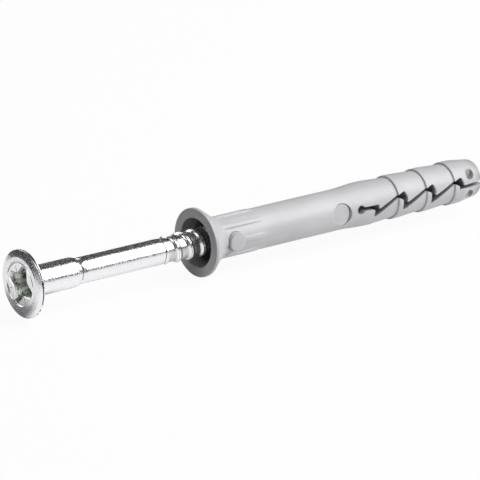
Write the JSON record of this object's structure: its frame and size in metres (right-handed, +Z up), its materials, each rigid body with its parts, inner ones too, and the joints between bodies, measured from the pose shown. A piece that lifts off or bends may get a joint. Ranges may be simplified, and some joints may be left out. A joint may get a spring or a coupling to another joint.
{
  "type": "hammer fixing",
  "caption": "Hammer-in wall fixing: a zinc-plated nail screw started in a slotted nylon plug with a countersunk collar and barbed rings.",
  "frame": {"origin": "centre of the plug collar's front face, on the fixing's axis", "axes": "+X along the axis from the head towards the plug's tip, +Z up, -Y the side with the round boss and the slot's keyhole"},
  "size_m": [0.1003, 0.0122, 0.0122],
  "materials": {
    "zinc_plated_steel": "bright zinc plating, fine mottled grain",
    "grey_nylon": "light grey moulded nylon, satin"
  },
  "bodies": {
    "plug": {"plug_sleeve": "grey_nylon"},
    "nail": {"nail_screw": "zinc_plated_steel"}
  },
  "joints": [
    {"name": "nail_drive", "type": "slide", "parent": "plug", "child": "nail", "axis": [1, 0, 0], "range_m": [0, 0.036]}
  ]
}
